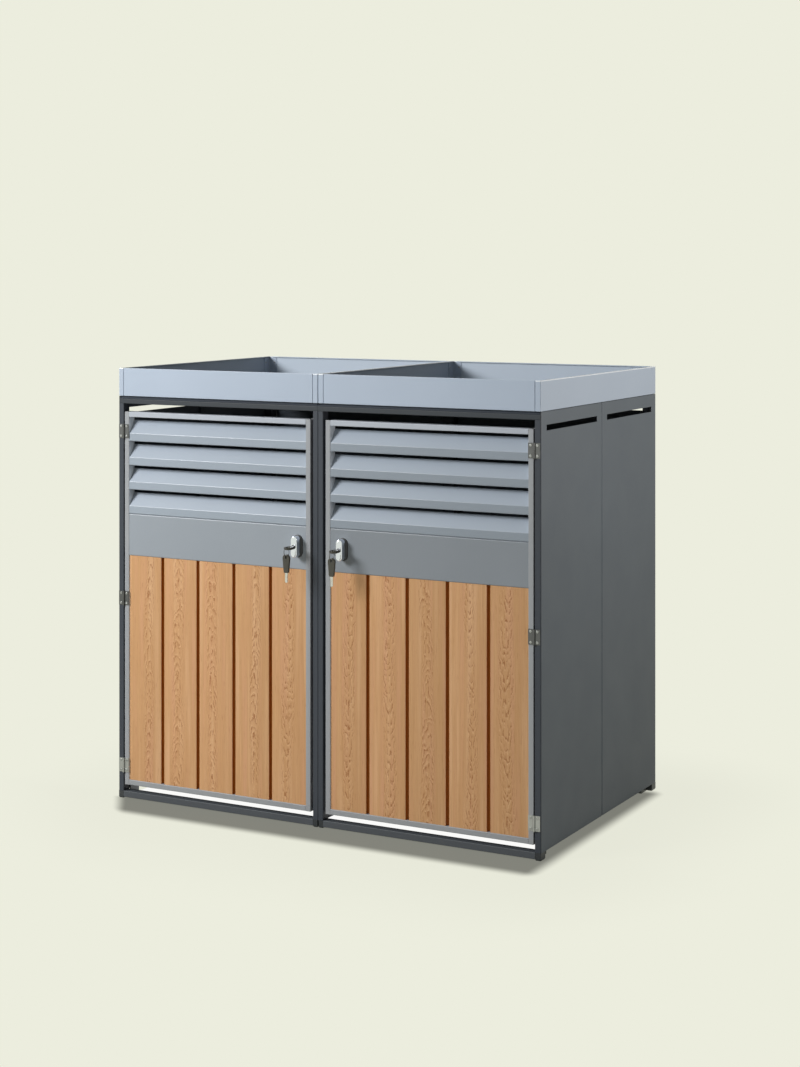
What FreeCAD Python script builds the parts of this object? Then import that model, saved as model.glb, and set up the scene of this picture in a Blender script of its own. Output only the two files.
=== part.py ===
import FreeCAD, Part
import math
import os

# Store for two 240-litre wheeled bins: a folded steel cabinet of two modules side by side,
# with a louvred and boarded door on each module, a cam lock in each door and a planter tray on top.
# X runs to the right, Y to the back and Z up. The origin is on the ground, in the middle of the
# whole object's length and depth. The left module is built, and the right one is its mirror image.

V = FreeCAD.Vector

# Overall size
width = 1340.0            # outside of the side panels
depth = 800.0             # front face of the doors to the back face
height = 1238.0           # ground to the planter rim

# Sheet and tube
sheet = 1.5               # thickness of every folded sheet
fold_radius = 1.5         # inside radius of a fold
tube_wall = 1.5
tube_edge = 1.5           # outside radius of a tube's corners
past = 1.0                # how far a cut runs past the face it opens
touching = 1e-6           # closer than this, two places are the same

# Frame
post_face = 17.0          # front corner post with the panel folded round it
post_depth = 28.0
centre_face = 15.7        # each of the two posts in the middle of the front
centre_seam = 0.6         # between the two modules
back_post_face = 30.0
centre_back_face = 40.0
base_rail_ground_gap = 3.0
base_rail_height = 18.0
top_rail_height = 14.0
side_rail_height = 20.0
panel_ground_gap = 20.0   # bottom edge of the panels above the ground
panel_top_gap = 1.0       # top edge of the panels below the tray
foot_edge = 3.0           # taper of a foot's lower edge
foot_inset = 1.3          # a centre foot is this much narrower than its post, on the seam side
foot_spigot = 10.0        # the plug that stands up inside the post
spigot_clearance = 0.2

# Vent slots near the top of the side and back panels
vent_height = 15.0
vent_margin = 35.0        # from a slot's end to its panel's edge
vent_drop = 36.0          # from the tray's lower edge to the top of the slot
seam_return = 12.0        # inward fold where two panels of a side meet
panel_seam = 0.6

# Planter trays and the deck under them
tray_height = 80.0
tray_return = 12.0        # inward fold along the bottom of a wall
tray_rim = 5.0            # width of the hem along the top
tray_hem = 3.0            # how far the hem comes down inside
tray_flange = 16.0        # the side wall's front and back flange
tray_edge = 1.2           # rounding of the rim's and the lower fold's outer edges
tray_seam = 1.5           # between a side wall's flange and the front wall
tray_gap = 0.6            # between the two trays
deck_step = 4.0           # dark recess under the tray
deck_lip = 4.0
deck_inset = 5.0
drain_radius = 5.0
drain_inset = 90.0
corner_leaf = 30.0        # angle in each corner of a tray
corner_clearance = 0.5
tray_screw_radius = 2.5
tray_screw_height = 1.5
tray_screw_inset = 22.0

# Doors
hinge_gap = 4.0           # door edge to the corner post
lock_gap = 8.0            # door edge to the centre post
head_gap = 23.0           # door to the top rail
sill_gap = 19.0           # door to the base rail
stop_gap = 0.5            # door to its stops
door_face = 15.0          # width of the stiles and cross rails
infill_setback = 1.0      # louvres and lock panel behind the frame's face

# Louvres
slat_count = 4
slat_rise = 37.0          # height of the sloping part
slat_lip = 22.5           # height of the upright part
slat_gap = 10.0
slat_depth = 26.0
slat_return = 8.0
slat_seam = 0.5           # last louvre to the lock panel

# Lock panel and boards
lock_panel_height = 119.5
lock_panel_return = 20.0
board_count = 5
board_groove = 10.0
board_thickness = 12.0
board_setback = 3.0
tongue_thickness = 4.0
batten_height = 25.0
batten_thickness = 3.0
batten_inset = 95.0       # from each end of the boards
stop_size = 40.0
stop_thickness = 3.0
stop_overlap = 12.0
stop_inset = 160.0        # from each end of the door

# Surface hinges
hinge_inset = 56.0        # middle of the end hinges to the door's ends
hinge_height = 40.0
leaf_width = 15.0
leaf_thickness = 1.8
knuckle_radius = 3.0
knuckle_clearance = 0.2   # knuckle to the door's face
knuckle_gap = 0.3         # between knuckles, along the pin
leaf_notch_gap = 0.4      # leaf to the other leaf's knuckle
knuckle_share = 0.25      # length of an outer knuckle over the hinge's height
pin_radius = 1.5
pin_clearance = 0.05
pin_head_radius = 2.4
pin_head_height = 1.0
screw_spacing = 28.0
screw_radius = 1.6
screw_clearance = 0.1
screw_length = 6.0
screw_head_radius = 3.5
screw_head_height = 1.2
screw_dome = 0.8          # rounding of a screw's head

# Cam locks
lock_setback = {"left": 40.0, "right": 55.0}   # from the door's free edge
lock_drop = 55.5          # from the top of the lock panel
rosette_width = 30.0
rosette_height = 62.0
rosette_thickness = 3.0
barrel_radius = 10.0
barrel_clearance = 0.2
lock_nut_radius = 15.0
lock_nut_thickness = 5.0
grip_width = 20.0
grip_height = 58.0
grip_depth = 22.1
grip_edge = 4.0
grip_clearance = 0.3
spindle_radius = 5.0
spindle_clearance = 0.08
core_radius = 6.0
core_proud = 0.6
core_length = 22.0
keyway_clearance = 0.3
cam_thickness = 3.0
cam_width = 16.0
cam_standoff = 2.0        # behind the centre post
cam_overlap = 10.0        # over the centre post when locked
cam_screw_radius = 4.5
cam_screw_height = 3.0

# Keys: one in each lock, with a second on its ring
blade_length = 27.0
blade_width = 8.0
blade_thickness = 2.2
blade_root = 5.0          # how far the blade runs into the head
blade_tip = 2.5           # bevel at the end of the blade
groove_width = 1.6
groove_depth = 0.5
groove_offset = 1.0       # middle of the groove to the middle of the blade
cut_depths = (1.6, 2.4, 1.2, 2.0)
cut_start = 8.0           # first cut to the head
cut_pitch = 4.0
cut_run = 1.8             # half of a cut's length at the edge
key_shoulder_gap = 2.0    # key head to the core
head_width = 26.0
head_length = 34.0
head_thickness = 7.0
head_taper = 4.5          # each side of the head comes in by this at the blade
head_radius = 10.0        # corners at the ring's end
head_shoulder = 4.0       # corners at the blade
head_edge = 1.5
head_bridge = 4.0         # between the ring's hole and the head's end
ring_hole_length = 12.0
ring_hole_width = 4.5
ring_radius = 13.0
ring_wire = 0.9
ring_lift = 5.2           # middle of the wire, at the ring's top, above the middle of the key head
spare_head_width = 24.0
spare_head_length = 50.0
spare_hole_height = 8.0

# Ground anchors
anchor_inset_x = 40.0     # bolt hole to the outside of the side panel
anchor_inset_y = 50.0     # bolt hole to the front and back faces
anchor_leaf = 40.0
anchor_thickness = 3.0
anchor_hole_radius = 4.5

# Heights that follow
tray_bottom = height - tray_height
deck_lip_top = tray_bottom - deck_step
deck_bottom = deck_lip_top - deck_lip
top_rail_bottom = deck_bottom - top_rail_height
door_top = top_rail_bottom - head_gap
base_rail_top = base_rail_ground_gap + base_rail_height
door_bottom = base_rail_top + sill_gap
panel_top = tray_bottom - panel_top_gap
vent_top = tray_bottom - vent_drop
slat_pitch = slat_rise + slat_lip + slat_gap
louvre_top = door_top - door_face
lock_panel_top = louvre_top - slat_count * slat_pitch - slat_seam
board_top = lock_panel_top - lock_panel_height
board_bottom = door_bottom + door_face
lock_z = lock_panel_top - lock_drop
hinge_heights = [
    door_bottom + hinge_inset,
    (door_bottom + door_top) / 2,
    door_top - hinge_inset,
]

# Distances ahead of the front face
rosette_front = rosette_thickness - infill_setback
grip_front = rosette_front + grip_clearance + grip_depth
core_front = grip_front + core_proud
head_start = core_front + key_shoulder_gap
head_end = head_start + head_length
ring_y = head_end - head_bridge / 2
key_reach = ring_y + ring_radius + ring_wire

# Places that follow
front = -(depth - key_reach) / 2
back = front + depth
outer = -width / 2
inner = -centre_seam / 2
post_inside = outer + post_face
centre_inside = inner - centre_face
door_left = post_inside + hinge_gap
door_right = centre_inside - lock_gap
door_depth = post_depth - stop_gap
infill_left = door_left + door_face
infill_right = door_right - door_face
infill_front = front + infill_setback
hinge_x = post_inside + hinge_gap / 2
hinge_y = front - knuckle_radius - knuckle_clearance
cam_front = front + post_depth + cam_standoff
cam_back = cam_front + cam_thickness
back_post_front = back - sheet - post_depth
low_rail_top = base_rail_top + side_rail_height
side_split = (front + back) / 2
ring_drop = ring_radius - ring_lift


def box(x0, x1, y0, y1, z0, z1):
    """A block between two corners."""
    return Part.makeBox(x1 - x0, y1 - y0, z1 - z0, V(x0, y0, z0))


def rod(radius, start, direction, length):
    """A round bar."""
    return Part.makeCylinder(radius, length, start, direction)


def at(axis, u, v, w):
    """The point at w along axis, with u and v along the other two directions in X, Y, Z order."""
    if axis == "x":
        return V(w, u, v)
    if axis == "y":
        return V(u, w, v)
    return V(u, v, w)


def along(axis, length):
    """A vector of that length along axis."""
    return at(axis, 0, 0, length)


def rounded_outline(axis, u0, u1, v0, v1, w, radius):
    """A rectangle with rounded corners, across axis at w."""
    corners = [(u1 - radius, v1 - radius), (u0 + radius, v1 - radius)]
    corners += [(u0 + radius, v0 + radius), (u1 - radius, v0 + radius)]
    arcs = []
    for turn, (u, v) in enumerate(corners):
        angles = [math.radians(90 * turn + 45 * step) for step in range(3)]
        points = [at(axis, u + radius * math.cos(a), v + radius * math.sin(a), w) for a in angles]
        arcs.append(points)
    edges = []
    for turn, points in enumerate(arcs):
        edges.append(Part.Arc(*points).toShape())
        start = arcs[(turn + 1) % 4][0]
        if points[2].distanceToPoint(start) > touching:
            edges.append(Part.makeLine(points[2], start))
    return Part.Wire(edges)


def rounded_bar(axis, u0, u1, v0, v1, w0, w1, radius):
    """A bar along axis with a rectangular section whose corners are rounded."""
    outline = rounded_outline(axis, u0, u1, v0, v1, w0, radius)
    return Part.Face(outline).extrude(along(axis, w1 - w0))


def tube(axis, u0, u1, v0, v1, w0, w1):
    """A hollow tube along axis with rounded outer corners."""
    outside = rounded_bar(axis, u0, u1, v0, v1, w0, w1, tube_edge)
    low = at(axis, u0 + tube_wall, v0 + tube_wall, w0)
    high = at(axis, u1 - tube_wall, v1 - tube_wall, w1)
    return outside.cut(box(low.x, high.x, low.y, high.y, low.z, high.z))


def unit(start, end):
    """The direction from one point of a section to the next."""
    length = math.hypot(end[0] - start[0], end[1] - start[1])
    return ((end[0] - start[0]) / length, (end[1] - start[1]) / length)


def folded(axis, path, w0, w1, side=1):
    """A sheet folded along path and extruded along axis.

    path is the line of one face in the section, and the sheet lies to its left, or with
    side=-1 to its right. Each corner gets the sheet's fold radius on its inside.
    """
    face = [[path[0]], []]
    first = unit(path[0], path[1])
    skin = [[offset_point(path[0], first, side)], []]
    for i in range(1, len(path) - 1):
        before = unit(path[i - 1], path[i])
        after = unit(path[i], path[i + 1])
        cross = before[0] * after[1] - before[1] * after[0]
        turn = 1 if cross > 0 else -1
        angle = math.atan2(abs(cross), before[0] * after[0] + before[1] * after[1])
        inside = fold_radius + sheet if turn == side else fold_radius
        other = fold_radius if turn == side else fold_radius + sheet
        run = inside * math.tan(angle / 2)
        start = (path[i][0] - before[0] * run, path[i][1] - before[1] * run)
        end = (path[i][0] + after[0] * run, path[i][1] + after[1] * run)
        centre = (start[0] - turn * before[1] * inside, start[1] + turn * before[0] * inside)
        for line, radius in ((face, inside), (skin, other)):
            a = scaled_from(centre, start, radius / inside)
            c = scaled_from(centre, end, radius / inside)
            chord = ((a[0] + c[0]) / 2, (a[1] + c[1]) / 2)
            reach = math.hypot(chord[0] - centre[0], chord[1] - centre[1])
            b = scaled_from(centre, chord, radius / reach)
            line[0] += [a, c]
            line[1].append(b)
    last = unit(path[-2], path[-1])
    face[0].append(path[-1])
    skin[0].append(offset_point(path[-1], last, side))
    edges = section_edges(axis, face, w0)
    edges.append(Part.makeLine(at(axis, *face[0][-1], w0), at(axis, *skin[0][-1], w0)))
    edges += section_edges(axis, skin, w0)[::-1]
    edges.append(Part.makeLine(at(axis, *skin[0][0], w0), at(axis, *face[0][0], w0)))
    return Part.Face(Part.Wire(edges)).extrude(along(axis, w1 - w0))


def offset_point(point, direction, side):
    """The point across the sheet from one on its face."""
    return (point[0] - side * direction[1] * sheet, point[1] + side * direction[0] * sheet)


def scaled_from(centre, point, share):
    """The point on the line from centre through point, at that share of the way."""
    return (centre[0] + (point[0] - centre[0]) * share, centre[1] + (point[1] - centre[1]) * share)


def section_edges(axis, line, w):
    """Straight runs and arcs of one face of a folded sheet."""
    points, middles = line
    edges = []
    for i in range(0, len(points) - 1, 2):
        edges.append(Part.makeLine(at(axis, *points[i], w), at(axis, *points[i + 1], w)))
        if i // 2 < len(middles):
            bend = [points[i + 1], middles[i // 2], points[i + 2]]
            edges.append(Part.Arc(*[at(axis, *p, w) for p in bend]).toShape())
    return edges


def mirrored(shape):
    """The same piece on the right module."""
    return shape.mirror(V(0, 0, 0), V(1, 0, 0))


pieces = {}


def add(name, *solids):
    """Keeps a node: one solid, or a group of separate solids."""
    pieces[name] = solids[0] if len(solids) == 1 else Part.makeCompound(list(solids))


def add_pair(name, *solids):
    """Keeps a node for the left module and its mirror image for the right one."""
    add("left_" + name, *solids)
    add("right_" + name, *[mirrored(s) for s in solids])


def both(*solids):
    """Pieces of the left module together with their mirror images."""
    return list(solids) + [mirrored(s) for s in solids]


def edges_near(shape, test):
    """The edges whose middle passes a test."""
    found = []
    for edge in shape.Edges:
        middle = edge.valueAt((edge.FirstParameter + edge.LastParameter) / 2)
        if test(middle):
            found.append(edge)
    return found


def hinge_screw_points(x):
    """Screw places on one column of hinge leaves."""
    return [V(x, front, z + s * screw_spacing / 2) for z in hinge_heights for s in (-1, 1)]


post_screw_x = post_inside - leaf_width / 2
door_screw_x = door_left + leaf_width / 2


def drilled(shape, points):
    """Clearance holes for hinge screws, from the front."""
    for p in points:
        start = p - V(0, leaf_thickness, 0)
        shape = shape.cut(rod(screw_radius + screw_clearance, start, V(0, 1, 0), 2 * screw_length))
    return shape


def hinge_screw(p):
    """A domed screw through a hinge leaf."""
    seat = V(p.x, front - leaf_thickness, p.z)
    head = rod(screw_head_radius, seat, V(0, -1, 0), screw_head_height)
    rim = edges_near(head, lambda m: m.y < seat.y - screw_head_height / 2)
    head = head.makeFillet(screw_dome, [e for e in rim if len(e.Vertexes) == 1])
    return head.fuse(rod(screw_radius, seat, V(0, 1, 0), screw_length))


def front_posts():
    """Corner and centre posts of the front, on their feet."""
    y1 = front + post_depth
    low = panel_ground_gap
    corner = tube("z", outer + sheet, post_inside, front + sheet, y1, low, top_rail_bottom)
    add_pair("front_post", drilled(corner, hinge_screw_points(post_screw_x)))
    centre = tube("z", centre_inside, inner, front, y1, low, top_rail_bottom)
    add_pair("centre_post", centre)


def back_posts():
    """Corner posts and the centre post of the back, as one group."""
    x1 = outer + back_post_face
    half = centre_back_face / 2
    y0 = back_post_front
    y1 = back - sheet
    corner = tube("z", outer + sheet, x1, y0, y1, panel_ground_gap, deck_bottom)
    centre = tube("z", -half, half, y0, y1, panel_ground_gap, deck_bottom)
    add("back_posts", *both(corner), centre)


def front_rails():
    """Base rails near the ground and top rails over the doors."""
    y1 = front + post_depth
    base = tube("x", front, y1, base_rail_ground_gap, base_rail_top, post_inside, centre_inside)
    add("base_rails", *both(base))
    add_pair("top_rail", tube("x", front, y1, top_rail_bottom, deck_bottom, outer + sheet, inner))


def inner_rails():
    """Rails that run to the back along the sides and the middle, and rails across the back."""
    y0 = front + post_depth
    y1 = back_post_front
    levels = ((base_rail_top, low_rail_top), (top_rail_bottom, deck_bottom))
    side = [tube("y", outer + sheet, post_inside, z0, z1, y0, y1) for z0, z1 in levels]
    add("side_rails", *both(*side))
    add("centre_rails", *[tube("y", centre_inside, -centre_inside, z0, z1, y0, y1) for z0, z1 in levels])
    x0 = outer + back_post_face
    x1 = -centre_back_face / 2
    across = [tube("x", y1, back - sheet, z0, z1, x0, x1) for z0, z1 in levels]
    add("back_rails", *both(*across))


def foot(x0, x1, y0, y1, plug):
    """A foot under a post, with a plug that stands up inside the tube."""
    taper = foot_edge
    sole = rounded_outline("z", x0 + taper / 2, x1 - taper / 2, y0 + taper / 2, y1 - taper / 2, 0, tube_edge)
    ankle = rounded_outline("z", x0, x1, y0, y1, taper, tube_edge)
    block = Part.makeLoft([sole, ankle], True, True)
    block = block.fuse(rounded_bar("z", x0, x1, y0, y1, taper, panel_ground_gap, tube_edge))
    px0, px1, py0, py1 = plug
    inset = tube_wall + spigot_clearance
    top = panel_ground_gap + foot_spigot
    stub = box(px0 + inset, px1 - inset, py0 + inset, py1 - inset, panel_ground_gap, top)
    return block.fuse(stub).removeSplitter()


def feet():
    """Feet under all seven posts."""
    y1 = front + post_depth
    corner_post = (outer + sheet, post_inside, front + sheet, y1)
    corner = foot(outer, post_inside, front, y1, corner_post)
    centre_post = (centre_inside, inner, front, y1)
    centre = foot(centre_inside, inner - foot_inset, front, y1, centre_post)
    x1 = outer + back_post_face
    rear_post = (outer + sheet, x1, back_post_front, back - sheet)
    rear = foot(outer, x1, back_post_front, back, rear_post)
    half = centre_back_face / 2
    middle_post = (-half, half, back_post_front, back - sheet)
    middle = foot(-half, half, back_post_front, back, middle_post)
    add("foot_caps", *both(corner, centre, rear), middle)


def vent(shape, lo, hi):
    """Cuts a vent slot between two corners given in plan."""
    slot = box(lo[0], hi[0], lo[1], hi[1], vent_top - vent_height, vent_top)
    return shape.cut(slot)


def clear_of_rails(panel, y0, y1):
    """Notches the inward fold of a side panel round the rails it meets."""
    x0 = outer + sheet
    x1 = outer + seam_return + past
    panel = panel.cut(box(x0, x1, y0, y1, top_rail_bottom, tray_bottom))
    return panel.cut(box(x0, x1, y0, y1, 0, low_rail_top))


def side_panels():
    """Two folded panels on each side, each folded round its corner post and inward at the seam."""
    split0 = side_split - panel_seam / 2
    split1 = side_split + panel_seam / 2
    z0 = panel_ground_gap
    path = [(post_inside, front), (outer, front), (outer, split0), (outer + seam_return, split0)]
    panel = folded("z", path, z0, panel_top, side=-1)
    over_post = (outer + sheet, post_inside + past, front - past, front + post_depth)
    panel = panel.cut(box(*over_post, top_rail_bottom, tray_bottom))
    panel = clear_of_rails(panel, split0 - 2 * sheet, split0)
    panel = vent(panel, (outer - past, front + vent_margin), (outer + 2 * sheet, side_split - vent_margin))
    add_pair("front_side_panel", drilled(panel, hinge_screw_points(post_screw_x)))

    x1 = outer + back_post_face
    path = [(outer + seam_return, split1), (outer, split1), (outer, back), (x1, back)]
    panel = folded("z", path, z0, panel_top, side=-1)
    panel = clear_of_rails(panel, split1, split1 + 2 * sheet)
    panel = vent(panel, (outer - past, side_split + vent_margin), (outer + 2 * sheet, back - vent_margin))
    add_pair("rear_side_panel", panel)


def back_panels():
    """A panel across the back of each module, between the folds of the side panels and the middle."""
    x0 = outer + back_post_face + panel_seam
    x1 = -panel_seam / 2
    panel = box(x0, x1, back - sheet, back, panel_ground_gap, panel_top)
    panel = vent(panel, (outer + vent_margin, back - 2 * sheet), (-vent_margin, back + past))
    add_pair("back_panel", panel)


def decks():
    """The stepped roof sheet of each module, which the tray stands on and drains through."""
    x0 = outer + sheet
    y0 = front
    y1 = back - sheet
    step = deck_inset
    lip = box(x0, inner, y0, y1, deck_bottom, deck_lip_top)
    corner = edges_near(lip, lambda m: max(m.x - x0, y1 - m.y) < touching)
    lip = lip.makeFillet(fold_radius, corner)
    rise = box(x0 + step, inner - step, y0 + step, y1 - step, deck_lip_top, tray_bottom)
    deck = lip.fuse(rise)
    under = deck_lip_top - sheet
    deck = deck.cut(box(x0 + sheet, inner - sheet, y0 + sheet, y1 - sheet, deck_bottom - past, under))
    step += sheet
    hollow = box(x0 + step, inner - step, y0 + step, y1 - step, under - past, tray_bottom - sheet)
    deck = deck.cut(hollow)
    for x in (x0 + drain_inset, inner - drain_inset):
        for y in (y0 + drain_inset, y1 - drain_inset):
            deck = deck.cut(rod(drain_radius, V(x, y, deck_bottom), V(0, 0, 1), tray_height))
    add_pair("roof_deck", deck)


def tray_wall(wall, fold, rim, hem, on_skin):
    """A tray wall with its lower fold and the hem along its top, rounded along its outer edges."""
    wall = wall.fuse([fold, rim, hem]).removeSplitter()
    outer_edges = edges_near(wall, lambda m: on_skin(m) and min(m.z - tray_bottom, height - m.z) < touching)
    return wall.makeFillet(tray_edge, outer_edges)


def tray_side(x_skin, toward):
    """A side wall of a tray with a flange at each end. Its skin is at x_skin, its inside toward +X or -X."""
    path = [(x_skin + toward * tray_flange, front), (x_skin, front)]
    path += [(x_skin, back), (x_skin + toward * tray_flange, back)]
    wall = folded("z", path, tray_bottom, height, side=-toward)
    ends = (front + sheet, back - sheet)
    inside = x_skin + toward * sheet
    fold = box(*sorted((inside, x_skin + toward * tray_return)), *ends, tray_bottom, tray_bottom + sheet)
    lip = x_skin + toward * tray_rim
    rim = box(*sorted((inside, lip)), *ends, height - sheet, height)
    hem = box(*sorted((lip - toward * sheet, lip)), *ends, height - tray_hem, height - sheet)

    def on_skin(m):
        from_side = (m.x - x_skin) * toward
        from_end = min(m.y - front, back - m.y)
        return min(from_side, from_end) < sheet / 2 and from_side < tray_flange - sheet / 2

    return tray_wall(wall, fold, rim, hem, on_skin)


def tray_front(x0, x1):
    """The front wall of a tray."""
    wall = box(x0, x1, front, front + sheet, tray_bottom, height)
    inside = front + sheet
    fold = box(x0, x1, inside, front + tray_return, tray_bottom, tray_bottom + sheet)
    lip = front + tray_rim
    rim = box(x0, x1, inside, lip, height - sheet, height)
    hem = box(x0, x1, lip - sheet, lip, height - tray_hem, height - sheet)
    return tray_wall(wall, fold, rim, hem, lambda m: m.y < front + touching)


def tray_corner(x, y, dx, dy):
    """An angle in a corner of a tray with its leaves along dx and dy, and its four screws."""
    z0 = tray_bottom + sheet + corner_clearance
    z1 = height - tray_hem - corner_clearance
    path = [(x + dx * corner_leaf, y), (x, y), (x, y + dy * corner_leaf)]
    angle = folded("z", path, z0, z1, side=-dx * dy)
    screws = []
    for z in (z0 + corner_leaf / 2, z1 - corner_leaf / 2):
        for head, way in (
            (V(x + dx * tray_screw_inset, y + dy * sheet, z), V(0, dy, 0)),
            (V(x + dx * sheet, y + dy * tray_screw_inset, z), V(dx, 0, 0)),
        ):
            screws.append(rod(tray_screw_radius, head, way, tray_screw_height))
    return angle, screws


def trays():
    """The open planter tray on each module."""
    inner_face = -tray_gap / 2
    add_pair("tray_sides", tray_side(outer, 1), tray_side(inner_face, -1))
    x0 = outer + tray_flange + tray_seam
    x1 = inner_face - tray_flange - tray_seam
    wall = tray_front(x0, x1)
    add_pair("tray_front", wall)
    add_pair("tray_back", wall.mirror(V(0, side_split, 0), V(0, 1, 0)))
    angles = []
    screws = []
    for x, dx in ((outer + sheet, 1), (inner_face - sheet, -1)):
        for y, dy in ((front + sheet, 1), (back - sheet, -1)):
            angle, heads = tray_corner(x, y, dx, dy)
            angles.append(angle)
            screws += heads
    add("tray_corner_angles", *both(*angles))
    add("tray_corner_screws", *both(*screws))


def anchor(y):
    """An angle on the side rail with a hole for a ground bolt."""
    x0 = post_inside
    half = anchor_leaf / 2
    base = box(x0, x0 + anchor_leaf, y - half, y + half, 0, anchor_thickness)
    upright = box(x0, x0 + anchor_thickness, y - half, y + half, 0, low_rail_top)
    centre = V(outer + anchor_inset_x, y, -past)
    hole = rod(anchor_hole_radius, centre, V(0, 0, 1), anchor_thickness + 2 * past)
    return base.fuse(upright).cut(hole)


def door_stops():
    """Plates behind the centre posts that the doors close against."""
    x0 = door_right - stop_overlap
    x1 = inner
    y0 = front + post_depth
    stops = []
    for z in (door_bottom + stop_inset, door_top - stop_inset):
        half = stop_size / 2
        stops.append(box(x0, x1, y0, y0 + stop_thickness, z - half, z + half))
    add("door_stops", *both(*stops))


def knuckle_spans():
    """Start and end of the lower, middle and upper knuckle from the hinge's lower end."""
    share = hinge_height * knuckle_share
    middle = (share + knuckle_gap, hinge_height - share - knuckle_gap)
    return (0, share), middle, (hinge_height - share, hinge_height)


def leaf(x_far, spans, bore, z):
    """A hinge leaf: a plate on the face, joined to the knuckles in spans."""
    low = z - hinge_height / 2
    toward = 1 if x_far > hinge_x else -1
    near = hinge_x + toward * (knuckle_radius + leaf_notch_gap)
    y0 = front - leaf_thickness
    plate = box(*sorted((near, x_far)), y0, front, low, low + hinge_height)
    for start, end in spans:
        tab = box(*sorted((hinge_x, near)), y0, front, low + start, low + end)
        knuckle = rod(knuckle_radius, V(hinge_x, hinge_y, low + start), V(0, 0, 1), end - start)
        plate = plate.fuse(tab).fuse(knuckle)
    plate = plate.cut(rod(bore, V(hinge_x, hinge_y, low - past), V(0, 0, 1), hinge_height + 2 * past))
    middle = post_screw_x if toward < 0 else door_screw_x
    return drilled(plate, [V(middle, front, z + s * screw_spacing / 2) for s in (-1, 1)])


def hinge_pin(z):
    """A hinge pin with a head at each end."""
    low = z - hinge_height / 2
    pin = rod(pin_radius, V(hinge_x, hinge_y, low), V(0, 0, 1), hinge_height)
    for end in (low - pin_head_height, low + hinge_height):
        pin = pin.fuse(rod(pin_head_radius, V(hinge_x, hinge_y, end), V(0, 0, 1), pin_head_height))
    return pin


def post_hinges():
    """The hinge leaves on the corner posts with their pins, and the screws that hold them."""
    lower, _, upper = knuckle_spans()
    x_far = post_inside - leaf_width
    leaves = [leaf(x_far, (lower, upper), pin_radius, z) for z in hinge_heights]
    add("post_hinges", *both(*leaves, *[hinge_pin(z) for z in hinge_heights]))
    add("post_hinge_screws", *both(*[hinge_screw(p) for p in hinge_screw_points(post_screw_x)]))


def door_frame():
    """Stiles and cross rails of a door."""
    y1 = front + door_depth
    stile = tube("z", door_left, infill_left, front, y1, door_bottom, door_top)
    add_pair("door_hinge_stile", drilled(stile, hinge_screw_points(door_screw_x)))
    add_pair("door_lock_stile", tube("z", infill_right, door_right, front, y1, door_bottom, door_top))
    low = tube("x", front, y1, door_bottom, board_bottom, infill_left, infill_right)
    high = tube("x", front, y1, louvre_top, door_top, infill_left, infill_right)
    add_pair("door_cross_rails", low, high)


def louvres():
    """Sloping louvres in the upper part of a door."""
    slats = []
    for i in range(slat_count):
        top = louvre_top - slat_gap - i * slat_pitch
        fold = top - slat_rise
        low = fold - slat_lip
        path = [(infill_front + slat_depth, top), (infill_front, fold)]
        path += [(infill_front, low), (infill_front + slat_return, low)]
        slats.append(folded("x", path, infill_left, infill_right))
    add_pair("louvres", *slats)


def lock_hole(side):
    """Where the axis of a door's lock crosses the front face, in the left module."""
    return V(door_right - lock_setback[side], front, lock_z)


def lock_panel(side):
    """The plain panel that carries the lock."""
    rear = infill_front + lock_panel_return
    path = [(rear, lock_panel_top), (infill_front, lock_panel_top)]
    path += [(infill_front, board_top), (rear, board_top)]
    panel = folded("x", path, infill_left, infill_right)
    hole = rod(barrel_radius + barrel_clearance, lock_hole(side), V(0, 1, 0), lock_panel_return / 2)
    return [panel.cut(hole)]


def boards():
    """Grooved boards in the lower part of a door, with two battens behind them."""
    span = infill_right - infill_left
    face = (span - (board_count - 1) * board_groove) / board_count
    y0 = front + board_setback
    y1 = y0 + board_thickness
    heights = (board_bottom, board_top)
    planks = []
    for i in range(board_count):
        x0 = infill_left + i * (face + board_groove)
        x1 = x0 + face
        plank = box(x0, x1, y0, y1, *heights)
        if i < board_count - 1:
            plank = plank.fuse(box(x1, x1 + board_groove, y1 - tongue_thickness, y1, *heights))
        planks.append(plank.removeSplitter())
    add_pair("door_boards", *planks)
    battens = []
    half = batten_height / 2
    for z in (board_bottom + batten_inset, board_top - batten_inset):
        battens.append(box(infill_left, infill_right, y1, y1 + batten_thickness, z - half, z + half))
    add_pair("door_battens", *battens)


def door_hinges():
    """The hinge leaves on a door and their screws."""
    x_far = door_left + leaf_width
    spans = [knuckle_spans()[1]]
    bore = pin_radius + pin_clearance
    add_pair("door_hinge_leaves", *[leaf(x_far, spans, bore, z) for z in hinge_heights])
    add_pair("door_hinge_screws", *[hinge_screw(p) for p in hinge_screw_points(door_screw_x)])


def upright_oval(centre, oval_width, oval_height, y0, y1):
    """A plate with round ends, standing upright on the lock's axis."""
    u0 = centre.x - oval_width / 2
    v0 = centre.z - oval_height / 2
    return rounded_bar("y", u0, u0 + oval_width, v0, v0 + oval_height, y0, y1, oval_width / 2)


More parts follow.
